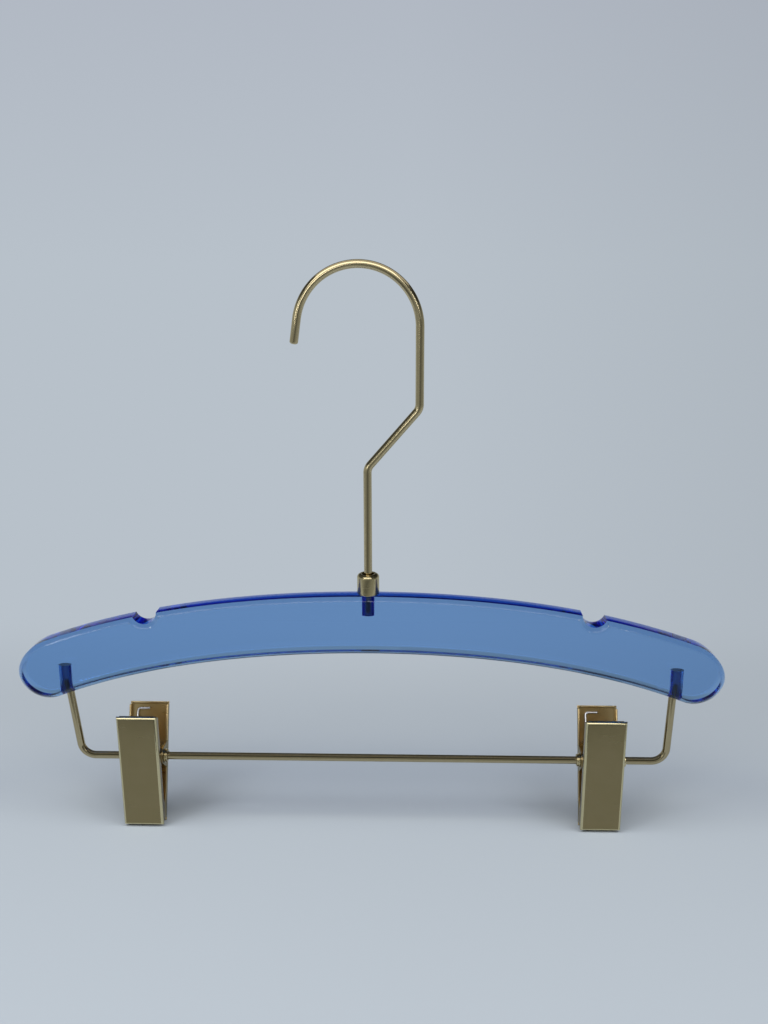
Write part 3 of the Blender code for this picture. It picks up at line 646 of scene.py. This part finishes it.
def makeBlade():
    outline = bladeOutline()
    rings = bevelProfile()
    rings = [(inset, -depth) for inset, depth in reversed(rings)] + rings
    shape = bmesh.new()
    loops = []
    for inset, depth in rings:
        loops.append([shape.verts.new((p[0], depth, p[1])) for p in insetOutline(outline, inset)])
    for low, high in zip(loops, loops[1:]):
        for a in range(len(low)):
            b = (a + 1) % len(low)
            shape.faces.new((low[a], low[b], high[b], high[a]))
    shape.faces.new(loops[0])
    shape.faces.new(list(reversed(loops[-1])))
    bmesh.ops.remove_doubles(shape, verts=shape.verts, dist=0.000002)
    bmesh.ops.recalc_face_normals(shape, faces=shape.faces)
    blade = meshObject("blade_acrylic", shape, acrylic)
    top, mouth = bladeSet["topZ"], boreMouth()
    bores = [(0.0, bladeSet["hookBoreRadius"], top - bladeSet["hookBoreDepth"], top + overcut)]
    for side in (-1, 1):
        bores.append((side * bladeSet["endBoreX"], bladeSet["endBoreRadius"],
                      mouth - 2 * overcut, mouth + bladeSet["endBoreDepth"]))
    for x, radius, low, high in bores:
        place = Matrix.Translation((x, 0, (low + high) / 2))
        carve(blade, "DIFFERENCE", drillTool(radius, high - low, place, sides=96))
    finishBlade(blade, bores)
    linkLamp("bladeRimBox", blade, "INCLUDE")
    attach(blade, "blade")
    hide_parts("blade")


makeBlade()
print("blade made")


# Wires: one node tree sweeps a round section along a path of points
def makeWireTree():
    tree = bpy.data.node_groups.new("wire_along_path", "GeometryNodeTree")
    inputs = {"Path": "Geometry", "Wire Diameter": "Float", "Sides": "Int", "Finish": "Material"}
    for name, kind in inputs.items():
        tree.interface.new_socket(name, in_out="INPUT", socket_type="NodeSocket" + kind)
    tree.interface.new_socket("Wire", in_out="OUTPUT", socket_type="NodeSocketGeometry")
    given = addNode(tree, "NodeGroupInput", {})
    radius = addNode(tree, "ShaderNodeMath", {0: given.outputs["Wire Diameter"], 1: 0.5},
                     operation="MULTIPLY")
    section = addNode(tree, "GeometryNodeCurvePrimitiveCircle",
                      {"Resolution": given.outputs["Sides"], "Radius": radius.outputs[0]})
    path = addNode(tree, "GeometryNodeMeshToCurve", {"Mesh": given.outputs["Path"]})
    girth = addNode(tree, "GeometryNodeInputNamedAttribute", {"Name": "girth"}, data_type="FLOAT")
    swept = addNode(tree, "GeometryNodeCurveToMesh", {
        "Curve": path.outputs[0], "Profile Curve": section.outputs[0], "Scale": girth.outputs["Attribute"],
        "Fill Caps": True})
    solid = addNode(tree, "GeometryNodeRealizeInstances", {"Geometry": swept.outputs[0]})
    finish = addNode(tree, "GeometryNodeSetMaterial",
                     {"Geometry": solid.outputs[0], "Material": given.outputs["Finish"]})
    addNode(tree, "NodeGroupOutput", {0: finish.outputs[0]})
    return tree


wireTree = makeWireTree()


def sweepWire(name, points, diameter, material, girths=None, sides=40):
    mesh = bpy.data.meshes.new(name)
    mesh.from_pydata([tuple(p) for p in points], [(i, i + 1) for i in range(len(points) - 1)], [])
    mesh.attributes.new("girth", "FLOAT", "POINT").data.foreach_set("value", girths or [1.0] * len(points))
    piece = addObject(name, mesh)
    modifier = piece.modifiers.new("wire", "NODES")
    modifier.node_group = wireTree
    values = {"Wire Diameter": diameter, "Sides": sides, "Finish": material}
    for item in wireTree.interface.items_tree:
        if item.name in values:
            modifier[item.identifier] = values[item.name]
    bakeModifiers(piece)
    with openMesh(piece) as shape:
        bmesh.ops.remove_doubles(shape, verts=shape.verts, dist=0.000002)
        bmesh.ops.recalc_face_normals(shape, faces=shape.faces)
    piece.data.shade_smooth()
    piece.data.set_sharp_from_angle(angle=math.radians(40))
    return piece


hookSet = {
    "wire": 0.0040,
    "radius": 0.02842,           # middle of the wire in the half round crook
    "centre": (-0.0039, -0.026211),
    "arcEnd": 172.0,             # degrees round from the upright wire
    "tail": 0.0096,
    "neckLow": 0.0627,           # heights over the blade's top
    "neckHigh": 0.0909,
    "neckBend": 0.0060,
    "headLow": -0.1497,
    "headTop": -0.1472,
    "headRadius": 0.00375,
    "tipRound": 0.55,            # how domed the cut end is, as a share of the wire's radius
    "tipFullness": 0.7,          # under 1 the dome is squarer than a round one
    "tipSteps": (15, 30, 45, 60, 75, 86),   # degrees over the dome
}


def makeHook():
    wire, radius, (centreX, centreZ) = hookSet["wire"], hookSet["radius"], hookSet["centre"]
    uprightX = centreX + radius
    headStep = wire / 12         # the head's top narrows to the wire within this
    neck = roundedPath([
        (0, 0, hookSet["headTop"] + headStep),
        (0, 0, bladeSet["topZ"] + hookSet["neckLow"]),
        (uprightX, 0, bladeSet["topZ"] + hookSet["neckHigh"]),
        (uprightX, 0, centreZ),
    ], hookSet["neckBend"], steps=20)
    arcEnd = math.radians(hookSet["arcEnd"])
    crook = [Vector((x, 0, z)) for x, z in arcPoints((centreX, centreZ), radius, 0.0, arcEnd, steps=96)]
    tailWay = Vector((-math.sin(arcEnd), 0, math.cos(arcEnd)))
    tailEnd = crook[-1] + tailWay * hookSet["tail"]
    points = [Vector((0, 0, hookSet["headLow"])), Vector((0, 0, hookSet["headTop"]))]
    girths = [hookSet["headRadius"] / (wire / 2)] * 2
    points += neck + crook[1:] + [tailEnd + tailWay * wire / 2 * (1 - hookSet["tipRound"])]
    girths += [1.0] * (len(points) - len(girths))
    for degrees in hookSet["tipSteps"]:
        angle = math.radians(degrees)
        points.append(tailEnd + tailWay * wire / 2 * (1 - hookSet["tipRound"] * (1 - math.sin(angle))))
        girths.append(math.cos(angle) ** hookSet["tipFullness"])
    hook = sweepWire("hook_wire", points, wire, platedWire, girths)
    linkLamp("hookTopCard", hook, "INCLUDE")
    linkLamp("hookFrontBox", hook, "INCLUDE")
    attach(hook, "hook")
    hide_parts("hook")


barSet = {
    "wire": 0.0038,
    "z": -0.2423,
    "halfWidth": 0.1483,
    "shift": 0.0013,
    "bend": 0.0075,
    "legX": 0.1510,              # where the legs bear on the bores' inner walls
    "insert": 0.0062,
    "endBreak": 0.0003,          # the cut ends are just broken
    "endGirth": 0.85,
}


def makeBar():
    ends = []
    for side in (-1, 1):
        corner = Vector((barSet["shift"] + side * barSet["halfWidth"], 0, barSet["z"]))
        bearing = Vector((side * barSet["legX"], 0, boreMouth()))
        ends.append((corner, bearing + (bearing - corner).normalized() * barSet["insert"]))
    points = roundedPath([ends[0][1], ends[0][0], ends[1][0], ends[1][1]], barSet["bend"], steps=28)
    first, last = points[0], points[-1]
    points[0] = first + (points[1] - first).normalized() * barSet["endBreak"]
    points[-1] = last + (points[-2] - last).normalized() * barSet["endBreak"]
    points = [first] + points + [last]
    girths = [barSet["endGirth"]] + [1.0] * (len(points) - 2) + [barSet["endGirth"]]
    # the bar's darker, browner tone is painted shade
    bar = sweepWire("clip_bar_wire", points, barSet["wire"], platedBarPaintedShade, girths)
    linkLamp("frontSoftbox", bar, "EXCLUDE")
    linkLamp("barTopCard", bar, "INCLUDE")
    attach(bar, "blade")
    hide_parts("clip_bar")


makeHook()
makeBar()
print("hook and clip bar made")


# Turned pieces: a profile of radius and height pairs taken round the axis. One that stays off
# the axis closes on itself
def turnProfile(name, profile, material, place=None, sides=64):
    shape = bmesh.new()
    rings = []
    for radius, height in profile:
        if radius == 0.0:
            rings.append([shape.verts.new((0, 0, height))] * sides)
        else:
            rings.append([
                shape.verts.new((radius * math.cos(2 * math.pi * k / sides),
                                 radius * math.sin(2 * math.pi * k / sides), height))
                for k in range(sides)
            ])
    pairs = list(zip(rings, rings[1:])) + ([(rings[-1], rings[0])] if profile[0][0] else [])
    for low, high in pairs:
        for a in range(sides):
            b = (a + 1) % sides
            corners = []
            for vert in (low[a], low[b], high[b], high[a]):
                if vert not in corners:
                    corners.append(vert)
            shape.faces.new(corners)
    if place:
        bmesh.ops.transform(shape, matrix=place, verts=shape.verts)
    bmesh.ops.recalc_face_normals(shape, faces=shape.faces)
    return meshObject(name, shape, material, smoothAngle=28.0)


collarSet = {
    "foot": -0.1542,
    "height": 0.0103,
    "radius": 0.0054,
    "hole": 0.00305,
    "chamber": 0.00415,
    "lid": 0.0030,
    "shoulder": 0.0018,
    "footBreak": 0.0005,
    "holeBreak": 0.00025,
}

studSet = {
    "flangeRadius": 0.00385,
    "flange": 0.0020,
    "radius": 0.0017,
    "bottom": -0.1639,
    "tipBreak": 0.0004,
}


def makeCollarAndStud():
    foot, top = collarSet["foot"], collarSet["foot"] + collarSet["height"]
    radius, hole = collarSet["radius"], collarSet["hole"]
    shoulder, footBreak, holeBreak = collarSet["shoulder"], collarSet["footBreak"], collarSet["holeBreak"]
    profile = arcPoints((hole + holeBreak, top - holeBreak), holeBreak, math.pi, math.pi / 2, steps=4)
    profile += arcPoints((radius - shoulder, top - shoulder), shoulder, math.pi / 2, 0.0, steps=14)
    profile += arcPoints((radius - footBreak, foot + footBreak), footBreak, 0.0, -math.pi / 2, steps=6)
    profile += [
        (collarSet["chamber"], foot),
        (collarSet["chamber"], top - collarSet["lid"]),
        (hole, top - collarSet["lid"]),
    ]
    collar = turnProfile("hook_collar", profile, platedTurning, sides=96)
    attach(collar, "blade")
    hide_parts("collar")
    flange, seat = studSet["flangeRadius"], foot + studSet["flange"]
    pin, tip, tipBreak = studSet["radius"], studSet["bottom"], studSet["tipBreak"]
    profile = [(0.0, seat), (flange, seat), (flange, foot), (pin, foot),
               (pin, tip + tipBreak), (pin - tipBreak, tip), (0.0, tip)]
    stud = turnProfile("collar_stud", profile, platedTurning)
    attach(stud, "blade")
    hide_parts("stud")


makeCollarAndStud()
print("collar and stud made")


# Clips: two folded leaves on a turned tube, with a sprung wire between them
clipSet = {
    "leftX": -0.1155,
    "rightX": 0.1172,
    "z": -0.2423,
    "swing": math.radians(8.1),
    "sheet": 0.0009,
    "width": 0.0203,
    "faceOffset": 0.01034,
    "top": 0.02645,
    "bottom": -0.03435,
    "fold": 0.0015,
    "flange": 0.0040,
    "lip": 0.0022,
    "jaw": 0.00415,
    "jawGap": 0.0003,
    "jawLength": 0.0094,
    "jawRamp": 0.0040,
    "relief": 0.0016,
    "earRise": 0.0068,
    "earRadius": 0.0041,
    "joggle": 0.0034,
    "runGap": 0.0003,
    "edgeBreak": 0.00010,        # the sheet's cut edges, tumbled before plating
}
clipSet["tilt"] = math.atan((clipSet["faceOffset"] - clipSet["jaw"]) / -clipSet["bottom"])
clipSet["earInside"] = clipSet["width"] / 2 - 2 * clipSet["sheet"] - clipSet["runGap"]

tubeSet = {
    "bore": 0.0022,
    "radius": 0.0027,
    "shoulder": 0.0036,
    "shoulderThickness": 0.0007,
    "rim": 0.0031,
    "rimLength": 0.0011,
    "edgeBreak": 0.00012,
}

springSet = {
    "wire": 0.00125,
    "coilGap": 0.00055,
    "endPlay": 0.0014,
    "armBelowTop": 0.0036,
    "foot": 0.0061,
    "bend": 0.0014,
    "turnPoints": 36,
}


def clipPlace(side, angle, axis):
    return Matrix.Translation((clipSet[side + "X"], 0, clipSet["z"])) @ Matrix.Rotation(angle, 4, axis)


# A block between any two opposite corners
def addBlock(shape, corner, opposite):
    low, high = [Vector([pick(pair) for pair in zip(corner, opposite)]) for pick in (min, max)]
    made = bmesh.ops.create_cube(shape, size=1.0)
    bmesh.ops.scale(shape, verts=made["verts"], vec=high - low)
    bmesh.ops.translate(shape, verts=made["verts"], vec=(low + high) / 2)


# A block whose outer face has its four edges rounded, as sheet rounds over a former
def foldBlock(halfWidth, outer, inner, low, high, radius):
    shape = bmesh.new()
    addBlock(shape, (-halfWidth, outer, low), (halfWidth, inner, high))
    rim = [edge for edge in shape.edges if all(abs(v.co.y - outer) < 1e-6 for v in edge.verts)]
    bmesh.ops.bevel(shape, geom=rim, offset=radius, offset_type="OFFSET", segments=8, profile=0.5,
                    affect="EDGES")
    bmesh.ops.recalc_face_normals(shape, faces=shape.faces)
    return meshObject("fold_block", shape)


# A flat outline of depth and height in a leaf's side view, given a width
def sideBlock(outline, facing, width, middle=0.0):
    shape = bmesh.new()
    drawn = [(facing * (clipSet["faceOffset"] - depth), height) for depth, height in outline]
    near = [shape.verts.new((middle - width / 2, y, z)) for y, z in drawn]
    far = [shape.verts.new((middle + width / 2, y, z)) for y, z in drawn]
    for a in range(len(drawn)):
        b = (a + 1) % len(drawn)
        shape.faces.new((near[a], near[b], far[b], far[a]))
    shape.faces.new(near)
    shape.faces.new(list(reversed(far)))
    bmesh.ops.recalc_face_normals(shape, faces=shape.faces)
    return meshObject("side_block", shape)


def jawReach(height):
    meeting = clipSet["faceOffset"] + height * math.tan(clipSet["tilt"])
    return meeting - clipSet["jawGap"] / 2 / math.cos(clipSet["tilt"])


def earPoints():
    span = clipSet["faceOffset"] - clipSet["flange"]
    distance = math.hypot(span, clipSet["earRise"])
    lean = math.atan2(clipSet["earRise"], -span) - math.acos(clipSet["earRadius"] / distance)
    tip = arcPoints((clipSet["faceOffset"], 0.0), clipSet["earRadius"], lean, -lean, steps=32)
    return [(clipSet["flange"], clipSet["earRise"])] + tip + [(clipSet["flange"], -clipSet["earRise"])]


def leafOutline(withEars):
    high, low = clipSet["top"] + overcut, clipSet["bottom"] - overcut
    lip, jaw = clipSet["top"] - clipSet["relief"], clipSet["bottom"] + clipSet["jawLength"]
    outline = [(-overcut, high), (clipSet["lip"], high), (clipSet["lip"], lip), (clipSet["flange"], lip)]
    if withEars:
        outline += earPoints()
    return outline + [
        (clipSet["flange"], jaw + clipSet["jawRamp"]),
        (jawReach(jaw), jaw),
        (jawReach(low), low),
        (-overcut, low),
    ]


# Marks a leaf's inner faces and its folds and cut edges, which take lighter colours: painted light inside and
# a painted highlight on the folds and edges
def markLeaf(leaf, facing, turned=0.3, sideways=0.9, level=0.985):
    with openMesh(leaf) as shape:
        inside, fold = [shape.faces.layers.float.new(mark) for mark in ("inside", "fold")]
        for face in shape.faces:
            normal, middle = face.normal, face.calc_center_median()
            inward = normal.y * facing < -turned or (abs(normal.x) > sideways and middle.x * normal.x < 0)
            flat = max(abs(part) for part in normal) > level
            face[inside] = 1.0 if inward else 0.0
            face[fold] = 0.0 if inward or flat else 1.0


# A leaf about its pivot: a folded tray cut to its side view and relieved at its corners. The outer
# leaf's flanges are its ears, and the inner leaf's ears are plates joggled inwards
def shapeLeaf(facing, inner):
    half, offset, sheet = clipSet["width"] / 2, clipSet["faceOffset"], clipSet["sheet"]
    fold, ear, inside = clipSet["fold"], clipSet["earRise"], clipSet["earInside"]
    leaf = foldBlock(half, facing * offset, -facing * offset, clipSet["bottom"], clipSet["top"], fold)
    carve(leaf, "DIFFERENCE", foldBlock(
        half - sheet, facing * (offset - sheet), -facing * (offset + overcut),
        clipSet["bottom"] + sheet, clipSet["top"] - sheet, fold - sheet))
    carve(leaf, "INTERSECT", sideBlock(leafOutline(not inner), facing, clipSet["width"] + 2 * overcut))
    relief, depth = bmesh.new(), clipSet["relief"]
    for edge in (-1, 1):
        for height, way in ((clipSet["top"], 1), (clipSet["bottom"], -1)):
            addBlock(relief, (edge * (half - depth), facing * (offset - fold), height - way * depth),
                     (edge * (half + overcut), -facing * offset, height + way * overcut))
    carve(leaf, "DIFFERENCE", meshObject("relief", relief))
    if inner:
        plate = [(sheet / 2, ear)] + earPoints() + [(sheet / 2, -ear)]
        rise = ear - sheet / 3
        for edge in (-1, 1):
            carve(leaf, "UNION", sideBlock(plate, facing, sheet, edge * (inside + sheet / 2)))
            joggle = bmesh.new()
            addBlock(joggle, (edge * (inside + sheet / 3), facing * (offset - sheet / 2), -rise),
                     (edge * (half - sheet / 2), facing * (offset - clipSet["joggle"]), rise))
            carve(leaf, "UNION", meshObject("joggle", joggle))
    carve(leaf, "DIFFERENCE", drillTool(tubeSet["radius"] + clipSet["runGap"], clipSet["width"] + 2 * overcut,
                                        Matrix.Rotation(math.pi / 2, 4, "Y")))
    return leaf


def makeLeaf(name, side, facing, inner, body, node):
    leaf = shapeLeaf(facing, inner)
    leaf.name = leaf.data.name = name
    with openMesh(leaf) as shape:
        bmesh.ops.remove_doubles(shape, verts=shape.verts, dist=0.000003)
        bmesh.ops.dissolve_limit(shape, angle_limit=math.radians(0.5), verts=shape.verts, edges=shape.edges)
    broken = leaf.modifiers.new("edges", "BEVEL")
    broken.width = clipSet["edgeBreak"]
    broken.segments = 2
    broken.limit_method = "ANGLE"
    broken.angle_limit = math.radians(50)
    broken.use_clamp_overlap = True
    bakeModifiers(leaf)
    markLeaf(leaf, facing)
    leaf.data.transform(clipPlace(side, -clipSet["swing"] - facing * clipSet["tilt"], "X"))
    leaf.data.materials.clear()
    leaf.data.materials.append(satinSheet)
    leaf.data.shade_smooth()
    leaf.data.set_sharp_from_angle(angle=math.radians(32))
    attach(leaf, body)
    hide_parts(node)


def makeTube(side):
    shoulder = clipSet["width"] / 2 + clipSet["runGap"]
    rim = shoulder + tubeSet["shoulderThickness"]
    end = rim + tubeSet["rimLength"]
    soft, bore, outer, widest = tubeSet["edgeBreak"], tubeSet["bore"], tubeSet["rim"], tubeSet["shoulder"]
    halfProfile = [
        (bore, end - soft), (bore + soft, end), (outer - soft, end), (outer, end - soft), (outer, rim),
        (widest - soft, rim), (widest, rim - soft), (widest, shoulder + soft), (widest - soft, shoulder),
        (tubeSet["radius"], shoulder),
    ]
    profile = halfProfile + [(radius, -height) for radius, height in reversed(halfProfile)]
    place = clipPlace(side, math.pi / 2, "Y")
    tube = turnProfile(side + "_tube", profile, platedTurning, place)
    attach(tube, side + "_tube")
    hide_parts(side + "_pivot_tube")


def leafPlace(x, inward, height, facing):
    across = inward * math.cos(clipSet["tilt"]) + height * math.sin(clipSet["tilt"])
    up = -inward * math.sin(clipSet["tilt"]) + height * math.cos(clipSet["tilt"])
    return Vector((x, facing * across, up))


def springPoints():
    wire = springSet["wire"]
    radius = tubeSet["radius"] + clipSet["runGap"] + wire / 2
    armX = clipSet["earInside"] - springSet["endPlay"] - wire / 2
    armDepth = clipSet["faceOffset"] - clipSet["sheet"] - clipSet["runGap"] - wire / 2
    armHeight = clipSet["top"] - springSet["armBelowTop"]
    distance = math.hypot(armDepth, armHeight)
    leave = clipSet["tilt"] + math.atan2(armDepth, armHeight) + math.acos(radius / distance)
    turns = math.floor(2 * armX / (wire + springSet["coilGap"]) + leave / math.pi)
    sweep = 2 * math.pi * turns - 2 * leave
    count = round(sweep / (2 * math.pi) * springSet["turnPoints"])
    coil = []
    for step in range(count + 1):
        angle = -leave - sweep * step / count
        x = armX - 2 * armX * step / count
        coil.append(Vector((x, radius * math.sin(angle), radius * math.cos(angle))))
    footX = armX - springSet["foot"]
    front = [leafPlace(x, armDepth, armHeight, -1) for x in (footX, armX)] + [coil[0]]
    rear = [coil[-1]] + [leafPlace(x, armDepth, armHeight, 1) for x in (-armX, -footX)]
    front, rear = [roundedPath(corners, springSet["bend"], steps=14) for corners in (front, rear)]
    return front[:-1] + coil + rear[1:]


def makeSpring(side):
    lie = clipPlace(side, -clipSet["swing"], "X")
    points = [lie @ point for point in springPoints()]
    spring = sweepWire(side + "_spring_wire", points, springSet["wire"], springSteel, sides=16)
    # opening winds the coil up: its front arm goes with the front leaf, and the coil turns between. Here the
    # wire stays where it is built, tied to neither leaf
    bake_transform(spring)
    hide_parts(side + "_spring")


for side in ("left", "right"):
    makeTube(side)
    makeLeaf(side + "_back_leaf", side, 1, False, side + "_rear", side + "_rear_leaf")
    makeLeaf(side + "_face_leaf", side, -1, True, side + "_front", side + "_front_leaf")
    makeSpring(side)
print("clips made")
